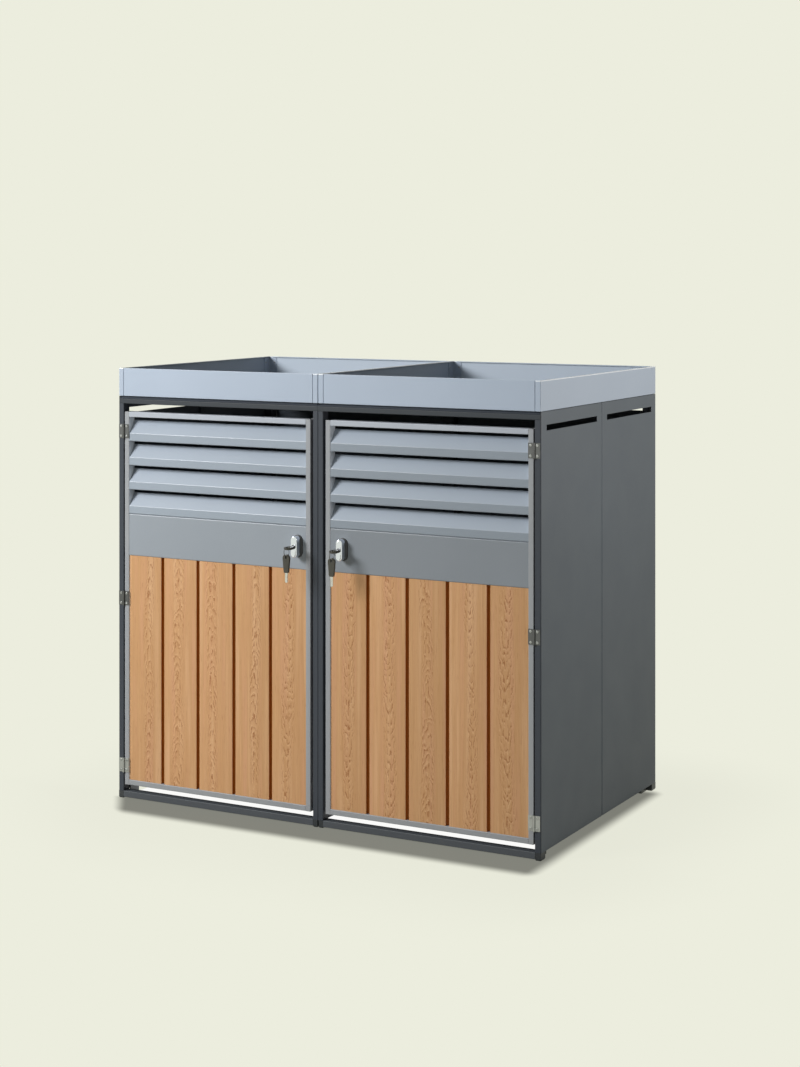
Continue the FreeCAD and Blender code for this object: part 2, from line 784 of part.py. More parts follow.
def lock_case(side):
    """The fixed part of a lock: rosette with its barrel, and the nut inside the door."""
    hole = lock_hole(side)
    rosette = upright_oval(hole, rosette_width, rosette_height, front - rosette_front, infill_front)
    rim = edges_near(rosette, lambda m: m.y < front - rosette_front + touching)
    rosette = rosette.makeFillet(rosette_thickness / 2, rim)
    barrel_end = cam_front - grip_clearance
    rosette = rosette.fuse(rod(barrel_radius, hole, V(0, 1, 0), barrel_end - front))
    bore = rod(spindle_radius + spindle_clearance, hole - V(0, grip_depth, 0), V(0, 1, 0), depth / 2)
    nut_start = infill_front + sheet
    nut_face = V(hole.x, nut_start, hole.z)
    corners = [math.radians(60 * i) for i in range(7)]
    ring = [nut_face + V(lock_nut_radius * math.cos(a), 0, lock_nut_radius * math.sin(a)) for a in corners]
    nut = Part.Face(Part.makePolygon(ring)).extrude(V(0, lock_nut_thickness, 0))
    nut = nut.cut(rod(barrel_radius, hole, V(0, 1, 0), lock_panel_return))
    return [rosette.cut(bore), nut]


def keyway(hole, extra):
    """The space of a key's blade in the lock, grown by extra on each side."""
    y0 = front - core_front - past
    y1 = front - head_start + blade_length + extra
    half_w = blade_width / 2 + extra
    half_t = blade_thickness / 2 + extra
    return box(hole.x - half_w, hole.x + half_w, y0, y1, hole.z - half_t, hole.z + half_t)


def knob(side):
    """The grip with its spindle, and the lock core inside it."""
    hole = lock_hole(side)
    grip_back = front - rosette_front - grip_clearance
    grip = upright_oval(hole, grip_width, grip_height, front - grip_front, grip_back)
    rim = edges_near(grip, lambda m: m.y < front - grip_front + touching)
    grip = grip.makeFillet(grip_edge, rim)
    grip = grip.fuse(rod(spindle_radius, V(hole.x, grip_back, hole.z), V(0, 1, 0), cam_back - grip_back))
    core_face = V(hole.x, front - core_front, hole.z)
    core = rod(core_radius, core_face, V(0, 1, 0), core_length)
    slot = keyway(hole, keyway_clearance)
    return [grip.cut(core).cut(slot), core.cut(slot)]


def cam(side):
    """The cam that turns behind the centre post, standing up while the door is unlocked."""
    hole = lock_hole(side)
    half = cam_width / 2
    reach = lock_setback[side] + lock_gap + cam_overlap
    u0 = hole.x - half
    plate = rounded_bar("y", u0, u0 + cam_width, hole.z - half, hole.z + reach, cam_front, cam_back, half)
    inside = V(hole.x, cam_front - past, hole.z)
    plate = plate.cut(rod(spindle_radius, inside, V(0, 1, 0), cam_thickness + 2 * past))
    screw = rod(cam_screw_radius, V(hole.x, cam_back, hole.z), V(0, 1, 0), cam_screw_height)
    return [plate, screw]


def slab(origin, way, across, flat, outline, t0, t1):
    """A plate from t0 to t1 along flat. Its outline is given as distances along way and across."""
    points = [origin + way * length + across * offset + flat * t0 for length, offset in outline]
    return Part.Face(Part.makePolygon(points + points[:1])).extrude(flat * (t1 - t0))


def key_blade(root, way, across, flat):
    """A key's blade from root, with cuts along one edge and a groove in each side."""
    half_w = blade_width / 2
    half_t = blade_thickness / 2
    shoulder = blade_length - blade_tip
    outline = [(-blade_root, half_w), (-blade_root, -half_w), (shoulder, -half_w)]
    outline += [(blade_length, blade_tip - half_w), (blade_length, half_w - blade_tip), (shoulder, half_w)]
    for i in reversed(range(len(cut_depths))):
        middle = cut_start + i * cut_pitch
        outline += [(middle + cut_run, half_w), (middle, half_w - cut_depths[i]), (middle - cut_run, half_w)]
    blade = slab(root, way, across, flat, outline, -half_t, half_t)
    near = -groove_offset + groove_width / 2
    far = -groove_offset - groove_width / 2
    end = blade_length + past
    groove = [(-blade_root, near), (-blade_root, far), (end, far), (end, near)]
    for t0, t1 in ((-half_t - past, groove_depth - half_t), (half_t - groove_depth, half_t + past)):
        blade = blade.cut(slab(root, way, across, flat, groove, t0, t1))
    return blade


def key_solid(ring_end, way, flat, length, wide, hole_length):
    """A key whose head narrows towards the blade, with a hole for the ring near ring_end."""
    across = V(1, 0, 0)
    half_t = head_thickness / 2
    half_w = wide / 2
    half_n = half_w - head_taper
    outline = [(0, -half_w), (length, -half_n), (length, half_n), (0, half_w)]
    head = slab(ring_end, way, across, flat, outline, -half_t, half_t)

    def reach(m):
        return (m - ring_end).dot(way)

    def aside(m):
        return abs((m - ring_end).dot(flat))

    ring_corners = edges_near(head, lambda m: aside(m) < touching and reach(m) < touching)
    head = head.makeFillet(head_radius, ring_corners)
    shoulders = edges_near(head, lambda m: aside(m) < touching and reach(m) > length - touching)
    head = head.makeFillet(head_shoulder, shoulders)
    head = head.makeFillet(head_edge, edges_near(head, lambda m: abs(aside(m) - half_t) < touching))
    half_h = ring_hole_width / 2
    ends = (head_bridge + half_h, head_bridge + hole_length - half_h)
    sides = [(ends[0], -half_h), (ends[1], -half_h), (ends[1], half_h), (ends[0], half_h)]
    opening = slab(ring_end, way, across, flat, sides, -head_thickness, head_thickness)
    for end in ends:
        start = ring_end + way * end - flat * head_thickness
        opening = opening.fuse(rod(half_h, start, flat, 2 * head_thickness))
    blade = key_blade(ring_end + way * length, way, across, flat)
    return head.fuse(blade).cut(opening)


def key(side):
    """The key in the lock."""
    hole = lock_hole(side)
    ring_end = V(hole.x, front - head_end, hole.z)
    return [key_solid(ring_end, V(0, 1, 0), V(0, 0, 1), head_length, head_width, ring_hole_length)]


def spare_key(side):
    """The ring through the key's head, and the second key that hangs from it."""
    hole = lock_hole(side)
    centre = V(hole.x, front - ring_y, hole.z - ring_drop)
    ring = Part.makeTorus(ring_radius, ring_wire, centre, V(1, 0, 0))
    half_t = head_thickness / 2
    sag = ring_radius - math.sqrt(ring_radius ** 2 - half_t ** 2)
    hole_top = centre.z - ring_radius + ring_wire + sag
    ring_end = V(hole.x, centre.y, hole_top + head_bridge)
    sizes = (spare_head_length, spare_head_width, spare_hole_height)
    return [ring, key_solid(ring_end, V(0, 0, -1), V(0, 1, 0), *sizes)]


def locks():
    """Both cam locks with their keys. They differ only in how far they stand from the door's edge."""
    makers = {
        "lock_panel": lock_panel,
        "lock_case": lock_case,
        "knob": knob,
        "cam": cam,
        "key": key,
        "spare_key": spare_key,
    }
    for name, maker in makers.items():
        add("left_" + name, *maker("left"))
        add("right_" + name, *[mirrored(solid) for solid in maker("right")])


def build():
    """Makes every piece and writes one STEP file for each node."""
    front_posts()
    back_posts()
    front_rails()
    inner_rails()
    feet()
    side_panels()
    back_panels()
    decks()
    trays()
    add("floor_anchors", *both(anchor(front + anchor_inset_y), anchor(back - anchor_inset_y)))
    door_stops()
    post_hinges()
    door_frame()
    louvres()
    boards()
    door_hinges()
    locks()
    os.makedirs("parts", exist_ok=True)
    for name, shape in pieces.items():
        shape.exportStep("parts/" + name + ".step")


build()
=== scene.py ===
import math

import bmesh
import bpy
from mathutils import Matrix, Vector


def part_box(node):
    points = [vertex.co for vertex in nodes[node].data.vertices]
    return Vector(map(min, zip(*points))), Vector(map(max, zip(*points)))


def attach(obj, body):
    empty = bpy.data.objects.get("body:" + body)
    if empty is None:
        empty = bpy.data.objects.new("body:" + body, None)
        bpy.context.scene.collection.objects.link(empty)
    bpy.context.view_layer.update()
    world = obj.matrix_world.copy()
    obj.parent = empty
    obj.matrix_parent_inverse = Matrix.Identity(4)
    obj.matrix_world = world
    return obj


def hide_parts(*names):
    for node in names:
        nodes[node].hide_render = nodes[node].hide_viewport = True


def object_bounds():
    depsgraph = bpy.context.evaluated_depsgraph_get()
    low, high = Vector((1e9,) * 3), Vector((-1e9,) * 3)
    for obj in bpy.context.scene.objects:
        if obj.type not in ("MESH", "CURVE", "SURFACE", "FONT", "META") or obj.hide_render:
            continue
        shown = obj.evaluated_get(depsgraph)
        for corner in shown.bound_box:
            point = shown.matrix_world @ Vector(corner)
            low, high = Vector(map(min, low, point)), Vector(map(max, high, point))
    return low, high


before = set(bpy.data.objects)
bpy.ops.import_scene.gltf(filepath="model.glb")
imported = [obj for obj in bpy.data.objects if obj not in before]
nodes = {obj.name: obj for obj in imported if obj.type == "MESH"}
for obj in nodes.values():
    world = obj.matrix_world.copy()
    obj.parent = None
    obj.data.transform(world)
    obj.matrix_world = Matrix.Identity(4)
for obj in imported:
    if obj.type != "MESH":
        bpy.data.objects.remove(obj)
cad_low, cad_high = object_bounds()

# Sizes in metres that the materials and the pieces share

MM = 0.001
SIDES = ("left", "right")

STORE_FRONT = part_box("left_tray_front")[0].y
STORE_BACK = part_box("right_rear_side_panel")[1].y
HALF_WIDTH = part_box("right_rear_side_panel")[1].x
TRAY_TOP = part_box("left_tray_sides")[1].z

BOARDS_LOW, BOARDS_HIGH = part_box("left_door_boards")
BOARDS_INNER = -BOARDS_HIGH.x  # from the middle of the store to the nearest board
BOARD_COUNT = 5
BOARD_GROOVE = 10.0 * MM
BOARD_PITCH = (BOARDS_HIGH.x - BOARDS_LOW.x + BOARD_GROOVE) / BOARD_COUNT
BOARD_FACE = BOARD_PITCH - BOARD_GROOVE

# Borders between the finishes of a node, each a little past the edge or face that it marks

PANEL_FOLD = 3.0 * MM          # from a side panel's front face, past its fold round the post
NUT_START = 1.2 * MM           # from the lock panel's front face, into its sheet
CORE_REACH = 6.1 * MM          # from the lock's axis, past the core
CORE_END = 30.0 * MM           # from the grip's face, past the core's inner end
KEY_HEAD_END = 34.1 * MM       # from the front of the key in the lock, past its head
SPARE_BLADE_END = 26.9 * MM    # from the spare key's tip to its head
RING_END = 28.5 * MM           # from the top of the ring, past its lower edge
RING_HALF_WIRE = 0.95 * MM     # from the lock's axis, past the ring's wire on either side
STILE_SKIN = 0.2 * MM          # from a stile's face towards the slats, into its wall
LIP_SKIN = 0.3 * MM            # from the slats' front edges, into their sheet
TRAY_BACK_SKIN = 1.0 * MM      # from the outer face of a tray's back wall, into its sheet
LOW_HINGE_END = 0.3            # above the lowest hinges and below the middle ones


# Colours, from 0 to 255 on the screen, as they look in plain light. A paint has two close tones

def shade(red, green, blue):
    """A linear colour from screen values."""
    channels = []
    for value in (red, green, blue):
        share = value / 255
        channels.append(share / 12.92 if share <= 0.04045 else ((share + 0.055) / 1.055) ** 2.4)
    return (*channels, 1.0)


def grey(value):
    """A linear grey from 0 to 1."""
    return (value, value, value, 1.0)


CREAM = shade(236, 237, 222)
# painted light for the strip under the doors
PAINTED_LIGHT_WHITE = shade(252, 252, 250)
FLOOR_GREY = shade(184, 184, 174)

TRAY_PAINT = (shade(163, 175, 191), shade(170, 182, 198))
# painted light: a lighter copy of the tray paint for the back walls' inner faces
TRAY_INSIDE_PAINTED_LIGHT = (shade(182, 194, 207), shade(189, 201, 214))
# painted highlight on the trays' folded top edge
TRAY_RIM_HIGHLIGHT = shade(236, 241, 245)
PANEL_PAINT = (shade(79, 86, 95), shade(85, 93, 102))
FRAME_PAINT = (shade(54, 59, 67), shade(60, 65, 73))
# painted shade: a darker copy of the frame paint for the top rails under the trays
TOP_RAIL_PAINTED_SHADE = (shade(46, 51, 57), shade(51, 56, 62))
BASE_PAINT = (shade(75, 79, 84), shade(81, 85, 90))
INFILL_PAINT = (shade(155, 165, 177), shade(162, 172, 184))
# painted shade: the slats' front edges and the lock panels are darker than the slopes, and darker on the
# right
LIP_PAINTED_SHADE = {"left": (shade(147, 157, 168), shade(154, 164, 175)),
             "right": (shade(134, 143, 153), shade(141, 150, 160))}
LOCK_PANEL_PAINTED_SHADE = {"left": (shade(142, 149, 157), shade(149, 156, 164)),
                    "right": (shade(126, 132, 139), shade(133, 139, 146))}
STILE_PAINT = (shade(147, 150, 154), shade(154, 157, 161))
# painted light: the doors' top rails and the stiles' inner faces are lighter copies of the stile paint
UPPER_RAIL_PAINTED_LIGHT = (shade(166, 172, 181), shade(173, 179, 188))
REVEAL_PAINTED_LIGHT = (shade(216, 221, 228), shade(222, 227, 234))

OAK_TONES = (shade(214, 170, 127), shade(202, 156, 109), shade(208, 159, 119))
OAK_FIBRE = shade(166, 117, 76)
OAK_PORE = shade(148, 92, 48)
# painted highlight beside the rings' dark lines, as on embossed grain
OAK_GLINT = shade(236, 196, 152)
# painted shade in the grooves between the boards
OAK_GROOVE_SHADE = shade(172, 102, 32)
OAK_COOL = (0.955, 0.955, 0.945, 1.0)     # each board's tone is taken times a colour between these two
OAK_WARM = (1.03, 1.025, 1.035, 1.0)


# Material building

class Nodes:
    """The node tree of a material or a world, with short ways to add and join nodes."""

    def __init__(self, owner, output="ShaderNodeOutputMaterial"):
        owner.use_nodes = True
        self.owner = owner
        self.tree = owner.node_tree
        self.tree.nodes.clear()
        self.output = self.add(output)

    def add(self, kind, inputs=None, **settings):
        """A node with its settings. An input is a number, a colour or another node's output."""
        node = self.tree.nodes.new(kind)
        for key, value in settings.items():
            setattr(node, key, value)
        for key, value in (inputs or {}).items():
            if isinstance(value, bpy.types.NodeSocket):
                self.tree.links.new(value, node.inputs[key])
            else:
                node.inputs[key].default_value = value
        return node

    def position(self):
        """The place on the object in metres."""
        return self.add("ShaderNodeTexCoord").outputs["Object"]

    def axes(self, place):
        """X, Y and Z of a place."""
        parts = self.add("ShaderNodeSeparateXYZ", {0: place}).outputs
        return parts["X"], parts["Y"], parts["Z"]

    def noise(self, place, scale, detail=2.0, roughness=0.5):
        """Soft noise from 0 to 1. scale is how many clouds there are to the metre."""
        sockets = {"Vector": place, "Scale": scale, "Detail": detail, "Roughness": roughness}
        return self.add("ShaderNodeTexNoise", sockets).outputs[0]

    def ramp(self, factor, stops):
        """A colour ramp with stops of (position, colour)."""
        node = self.add("ShaderNodeValToRGB", {"Fac": factor})
        elements = node.color_ramp.elements
        elements[0].position, elements[0].color = stops[0]
        elements[1].position, elements[1].color = stops[-1]
        for place, colour in stops[1:-1]:
            elements.new(place).color = colour
        return node.outputs["Color"]

    def mix(self, factor, first, second, blend="MIX"):
        """Two colours mixed. Sockets 6 and 7 are the node's two colours, and output 2 is the result."""
        sockets = {0: factor, 6: first, 7: second}
        return self.add("ShaderNodeMix", sockets, data_type="RGBA", blend_type=blend).outputs[2]

    def math(self, operation, *values):
        """One step of arithmetic."""
        return self.add("ShaderNodeMath", dict(enumerate(values)), operation=operation).outputs[0]

    def total(self, first, *others):
        for other in others:
            first = self.math("ADD", first, other)
        return first

    def product(self, first, *others):
        for other in others:
            first = self.math("MULTIPLY", first, other)
        return first

    def vector(self, operation, *values):
        """One step of arithmetic on each axis at once."""
        return self.add("ShaderNodeVectorMath", dict(enumerate(values)), operation=operation).outputs[0]

    def remap(self, value, low, high, start=0.0, end=1.0, interpolation="LINEAR"):
        """value taken from low..high to start..end, and held at both ends."""
        sockets = {"Value": value, "From Min": low, "From Max": high, "To Min": start, "To Max": end}
        return self.add("ShaderNodeMapRange", sockets, interpolation_type=interpolation).outputs[0]

    def between(self, value, start, end):
        """value taken from 0..1 to start..end."""
        return self.remap(value, 0.0, 1.0, start, end)

    def smooth(self, value, low, high, start, end):
        """value taken from low..high to start..end with a soft start and end."""
        return self.remap(value, low, high, start, end, interpolation="SMOOTHSTEP")

    def bump(self, height, strength, distance, normal=None):
        sockets = {"Height": height, "Strength": strength, "Distance": distance}
        if normal is not None:
            sockets["Normal"] = normal
        return self.add("ShaderNodeBump", sockets).outputs[0]

    def finish(self, surface):
        """Ends the tree in a shader node, and hands back the material or world."""
        self.tree.links.new(surface.outputs[0], self.output.inputs["Surface"])
        return self.owner

    def principled(self, **sockets):
        """Ends the tree in a Principled shader with these sockets, an underscore standing for a space."""
        named = {key.replace("_", " "): value for key, value in sockets.items()}
        return self.finish(self.add("ShaderNodeBsdfPrincipled", named))


def new_material(name):
    return Nodes(bpy.data.materials.new(name))


# Paint, metal and plastic

FOLD_EDGE = 1.4 * MM           # rounding that the light finds on a folded edge
RIM_START = 2.6 * MM           # from the top of the trays down to where their painted rim highlight starts
RIM_FULL = 2.0 * MM            # and down to where it is fully bright


def painted(name, tones, roughness=(0.34, 0.46), specular=0.5, painted_rim_highlight=False):
    """Powder-coated sheet: two close tones in soft clouds, a fine orange-peel surface and softened folds.

    Along the tray sides the paint can be lighter at the top: a painted highlight on their folded edge.
    """
    n = new_material(name)
    place = n.position()
    tone = n.mix(n.noise(place, scale=3.0, detail=3.0), *tones)
    speck = n.between(n.noise(place, scale=1400.0, detail=1.0), 0.93, 1.07)
    tone = n.mix(1.0, tone, speck, blend="MULTIPLY")
    # a painted highlight along the top of the trays
    if painted_rim_highlight:
        height = n.axes(place)[2]
        tone = n.mix(n.remap(height, TRAY_TOP - RIM_START, TRAY_TOP - RIM_FULL), tone, TRAY_RIM_HIGHLIGHT)
    fold = n.add("ShaderNodeBevel", {"Radius": FOLD_EDGE}, samples=6).outputs[0]
    waves = n.noise(place, scale=22.0, detail=1.0)
    normal = n.bump(waves, strength=0.05, distance=0.6 * MM, normal=fold)
    peel = n.noise(place, scale=650.0)
    normal = n.bump(peel, strength=0.12, distance=0.18 * MM, normal=normal)
    rough = n.between(n.noise(place, scale=9.0, detail=4.0), *roughness)
    return n.principled(Base_Color=tone, Roughness=rough, Normal=normal, Specular_IOR_Level=specular)


def metal(name, tone, roughness, worn=0.36):
    """Bare or plated metal with fine marks. worn is how much darker the metal in its dull clouds is."""
    n = new_material(name)
    place = n.position()
    marks = n.noise(place, scale=420.0, detail=3.0)
    cloud = n.noise(place, scale=60.0, detail=3.0)
    dull = (*[channel * (1 - worn) for channel in tone[:3]], 1.0)
    colour = n.mix(n.between(cloud, 0.0, 0.7), tone, dull)
    rough = n.between(marks, *roughness)
    normal = n.bump(marks, strength=0.12, distance=0.1 * MM)
    return n.principled(Base_Color=colour, Metallic=1.0, Roughness=rough, Normal=normal)


def plastic(name, tone):
    """Moulded plastic with a fine spark-eroded grain and slightly lighter clouds."""
    n = new_material(name)
    place = n.position()
    pitted = n.noise(place, scale=2200.0)
    cloud = n.noise(place, scale=110.0, detail=3.0)
    lighter = (*[min(1.0, channel * 1.7 + 0.004) for channel in tone[:3]], 1.0)
    colour = n.mix(n.between(cloud, 0.0, 0.8), tone, lighter)
    rough = n.between(cloud, 0.32, 0.5)
    normal = n.bump(pitted, strength=0.2, distance=0.1 * MM)
    return n.principled(Base_Color=colour, Roughness=rough, Normal=normal)


# Oak-look boards

BOARDS_TO_A_DOOR = 7.0         # a step between the doors' board numbers, larger than the count of boards
GRAIN_SHIFT = (3.1, 1.7, 7.3)  # how far the grain of one board can lie from another's, in metres
BAND_WANDER = 16.0 * MM        # how far the band's middle can lie from the board's
BAND_DRIFT = 50.0 * MM         # how far it strays from side to side along the board, at most
BAND_FULL = 0.4e-4             # square of the distance from the band's middle to where it starts to fade
BAND_END = 6.0e-4              # and to where it ends
ARCH_CURVE = 170.0             # how far an arch falls back from its tip, to that square
ARCH_WAVER = 140.0 * MM        # how far noise moves an arch along the board, at most
RINGS = 34.0                   # growth rings to the metre
RING_LINE = [(0.0, grey(1.0)), (0.16, grey(0.35)), (0.55, grey(0.0)), (0.86, grey(0.2)), (1.0, grey(1.0))]
RING_RIDGE_HIGHLIGHT = [(0.0, grey(0.0)), (0.18, grey(0.0)), (0.32, grey(1.0)), (0.5, grey(0.0)), (1.0, grey(0.0))]
LINE_SHARE = 0.9               # how strongly a ring's dark line shows, then the painted highlight on its ridge and the pores
RIDGE_HIGHLIGHT_SHARE = 0.5
PORE_SHARE = 0.32
GROOVE_SIDES = (0.9 * MM, 2.1 * MM)       # depth behind the boards' faces where a groove's painted shade sets in
BOARD_BACK_SKIN = 0.2 * MM     # from the boards' backs, into the wood


def grain(n, place, stretch, scale, detail=2.0, roughness=0.5):
    """Noise drawn out along the board. The smaller stretch is, the longer its streaks are."""
    along = n.add("ShaderNodeMapping", {"Vector": place, "Scale": (1.0, 1.0, stretch)}).outputs[0]
    return n.noise(along, scale, detail, roughness)


def board_chances(n, x, boards_in):
    """A colour of three chances for each board, from its number."""
    on_right = n.math("GREATER_THAN", x, 0.0)
    number = n.total(n.math("FLOOR", boards_in), n.product(on_right, BOARDS_TO_A_DOOR))
    return n.add("ShaderNodeTexWhiteNoise", {"W": number}, noise_dimensions="1D").outputs["Color"]


def arches(n, place, boards_in, height, middle_chance):
    """Growth rings as a saw cuts across them, in a band about a third of the board wide.

    It gives the place between two rings, from 0 to 1, and how much of them shows.
    """
    middle = n.total(n.between(middle_chance, -BAND_WANDER, BAND_WANDER), BOARD_FACE / 2)
    from_edge = n.product(n.math("FRACT", boards_in), BOARD_PITCH)
    drift = n.product(n.math("SUBTRACT", grain(n, place, stretch=0.25, scale=9.0), 0.5), BAND_DRIFT)
    offset = n.total(n.math("SUBTRACT", from_edge, middle), drift)
    square = n.product(offset, offset)
    clouds = grain(n, place, stretch=0.5, scale=34.0, detail=4.0, roughness=0.65)
    arch = n.total(height, n.product(square, ARCH_CURVE), n.product(clouds, ARCH_WAVER))
    ring = n.math("FRACT", n.product(arch, RINGS))
    broken = n.remap(grain(n, place, stretch=0.1, scale=300.0), low=0.42, high=0.56)
    return ring, n.product(broken, n.smooth(square, BAND_FULL, BAND_END, 1.0, 0.0))


def groove_painted_shade(n, y):
    """1 in the grooves between the boards, where their painted shade goes, and 0 on their faces and backs.
    """
    near, far = GROOVE_SIDES
    inside = n.remap(y, BOARDS_LOW.y + near, BOARDS_LOW.y + far)
    return n.product(inside, n.math("LESS_THAN", y, BOARDS_HIGH.y - BOARD_BACK_SKIN))


def oak(name):
    """Straight upright fibres, and a narrow band of broken arches up the middle of each board."""
    n = new_material(name)
    whole = n.position()
    x, y, z = n.axes(whole)
    boards_in = n.math("DIVIDE", n.math("SUBTRACT", n.math("ABSOLUTE", x), BOARDS_INNER), BOARD_PITCH)
    chances = board_chances(n, x, boards_in)
    first, second, third = n.add("ShaderNodeSeparateColor", {0: chances}).outputs
    place = n.vector("ADD", whole, n.vector("MULTIPLY", chances, GRAIN_SHIFT))

    streaks = grain(n, place, stretch=0.03, scale=55.0)
    tone = n.ramp(streaks, list(zip((0.32, 0.5, 0.68), OAK_TONES)))
    fibres = grain(n, place, stretch=0.022, scale=380.0, detail=3.0, roughness=0.65)
    tone = n.mix(n.between(fibres, -0.16, 0.5), tone, OAK_FIBRE)

    # The arches point up on about half of the boards and down on the others
    way = n.math("SUBTRACT", n.product(n.math("ROUND", second), 2.0), 1.0)
    ring, shown = arches(n, place, boards_in, n.product(z, way), first)
    marks = n.product(n.ramp(ring, RING_LINE), shown, LINE_SHARE)
    tone = n.mix(marks, tone, OAK_PORE)
    # a painted highlight beside each ring's line
    tone = n.mix(n.product(n.ramp(ring, RING_RIDGE_HIGHLIGHT), shown, RIDGE_HIGHLIGHT_SHARE), tone, OAK_GLINT)
    dashes = grain(n, place, stretch=0.05, scale=620.0, detail=1.0)
    tone = n.mix(n.remap(dashes, low=0.64, high=0.72, end=PORE_SHARE), tone, OAK_PORE)

    tone = n.mix(1.0, tone, n.mix(third, OAK_COOL, OAK_WARM), blend="MULTIPLY")
    tone = n.mix(groove_painted_shade(n, y), tone, OAK_GROOVE_SHADE)
    normal = n.bump(fibres, strength=0.3, distance=0.3 * MM)
    normal = n.bump(marks, strength=0.6, distance=0.5 * MM, normal=normal)
    rough = n.between(fibres, 0.46, 0.62)
    return n.principled(Base_Color=tone, Roughness=rough, Normal=normal, Specular_IOR_Level=0.3)


# The materials by finish

MATT = {"roughness": (0.42, 0.55), "specular": 0.3}
GLOSSY = {"roughness": (0.26, 0.36)}

materials = {
    "tray": painted("tray_powder_coat", TRAY_PAINT),
    "tray_side": painted("tray_side_powder_coat", TRAY_PAINT, painted_rim_highlight=True),
    "tray_inside_painted_light": painted("tray_inside_powder_coat", TRAY_INSIDE_PAINTED_LIGHT),
    "deck": painted("deck_powder_coat", FRAME_PAINT, roughness=(0.62, 0.76), specular=0.15),
    "panel": painted("panel_powder_coat", PANEL_PAINT, **MATT),
    "frame": painted("frame_powder_coat", FRAME_PAINT, **MATT),
    "top_rail": painted("top_rail_painted_shade_coat", TOP_RAIL_PAINTED_SHADE, **MATT),
    "base": painted("base_powder_coat", BASE_PAINT, **MATT),
    "infill": painted("infill_powder_coat", INFILL_PAINT, **GLOSSY),
    "stile": painted("stile_powder_coat", STILE_PAINT),
    "rail": painted("rail_powder_coat", UPPER_RAIL_PAINTED_LIGHT),
    "reveal_painted_light": painted("reveal_powder_coat", REVEAL_PAINTED_LIGHT),
    "oak": oak("oak_board"),
    "zinc": metal("zinc_plate", shade(176, 178, 178), roughness=(0.3, 0.45)),
    "steel": metal("dark_hinge_steel", shade(102, 103, 104), roughness=(0.36, 0.5)),
    "bright": metal("bright_steel", shade(222, 222, 218), roughness=(0.16, 0.28), worn=0.15),
    "chrome": metal("polished_chrome", shade(236, 241, 252), roughness=(0.05, 0.12), worn=0.09),
    "black": plastic("black_lacquer", shade(34, 35, 36)),
    "key_head": plastic("key_head_plastic", shade(48, 46, 39)),
    "foot": plastic("foot_plastic", shade(40, 43, 46)),
}
for side in SIDES:
    materials[f"{side}_lip"] = painted(f"{side}_lip_painted_shade_coat", LIP_PAINTED_SHADE[side], **GLOSSY)
    materials[f"{side}_lock_panel"] = painted(f"{side}_lock_panel_painted_shade_coat", LOCK_PANEL_PAINTED_SHADE[side],
                                              roughness=(0.28, 0.38))


# Finishes of the CAD nodes

def paint(name, *finishes, rule=lambda middle: 0):
    """Gives a CAD node its finishes. rule takes the middle of a face and says which finish it has."""
    mesh = nodes[name].data
    mesh.materials.clear()
    for finish in finishes:
        mesh.materials.append(materials[finish])
    for face in mesh.polygons:
        face.material_index = int(rule(face.center))


def both(*names):
    """The nodes of these names on the left and on the right."""
    return [f"{side}_{name}" for side in SIDES for name in names]


PLAIN_FINISHES = {
    "tray": both("tray_front") + ["tray_corner_angles"],
    "tray_side": both("tray_sides"),
    "deck": both("roof_deck"),
    "panel": both("rear_side_panel", "back_panel"),
    "frame": both("front_post", "centre_post") + ["back_posts", "side_rails", "centre_rails", "back_rails",
                                                  "door_stops"],
    "top_rail": both("top_rail"),
    "base": ["base_rails"],
    "infill": both("door_battens"),
    "zinc": both("cam"),
    "steel": ["floor_anchors"],
    "foot": ["foot_caps"],
}


def finish_plain_nodes():
    for finish, names in PLAIN_FINISHES.items():
        for name in names:
            paint(name, finish)


def finish_front_panels():
    """The side panels' folds round the front posts take the frame's darker paint."""
    for name in both("front_side_panel"):
        fold_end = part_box(name)[0].y + PANEL_FOLD
        paint(name, "panel", "frame", rule=lambda middle: middle.y < fold_end)


def finish_tray_backs():
    """The inner faces of the trays' back walls have a lighter tone: painted light from the front and above.
    """
    for name in both("tray_back"):
        inside_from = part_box(name)[1].y - TRAY_BACK_SKIN
        paint(name, "tray", "tray_inside_painted_light", rule=lambda middle: middle.y < inside_from)


def finish_door_frames():
    """The stiles' faces towards the slats are lighter than the rest, and so are the doors' top rails:
    painted light.
    """
    for side in SIDES:
        paint(f"{side}_door_cross_rails", "stile", "rail", rule=lambda middle: middle.z > TRAY_TOP / 2)
        hinge_side = [abs(corner.x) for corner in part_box(f"{side}_door_hinge_stile")]
        paint(f"{side}_door_hinge_stile", "stile", "reveal_painted_light",
              rule=lambda middle: abs(middle.x) < min(hinge_side) + STILE_SKIN)
        lock_side = [abs(corner.x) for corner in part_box(f"{side}_door_lock_stile")]
        paint(f"{side}_door_lock_stile", "stile", "reveal_painted_light",
              rule=lambda middle: abs(middle.x) > max(lock_side) - STILE_SKIN)


def finish_infill():
    """The slats' upright front edges are darker than their slopes, as painted shade.

    They and the lock panels are darker on the right than on the left, which is painted shade too.
    """
    for side in SIDES:
        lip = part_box(f"{side}_louvres")[0].y + LIP_SKIN
        paint(f"{side}_louvres", "infill", f"{side}_lip", rule=lambda middle: middle.y < lip)
        paint(f"{side}_lock_panel", f"{side}_lock_panel")


def finish_hinges():
    """Dark steel hinges, with the lowest one of each door in bright zinc."""
    for name in ["post_hinges"] + both("door_hinge_leaves"):
        paint(name, "steel", "zinc", rule=lambda middle: middle.z < LOW_HINGE_END)


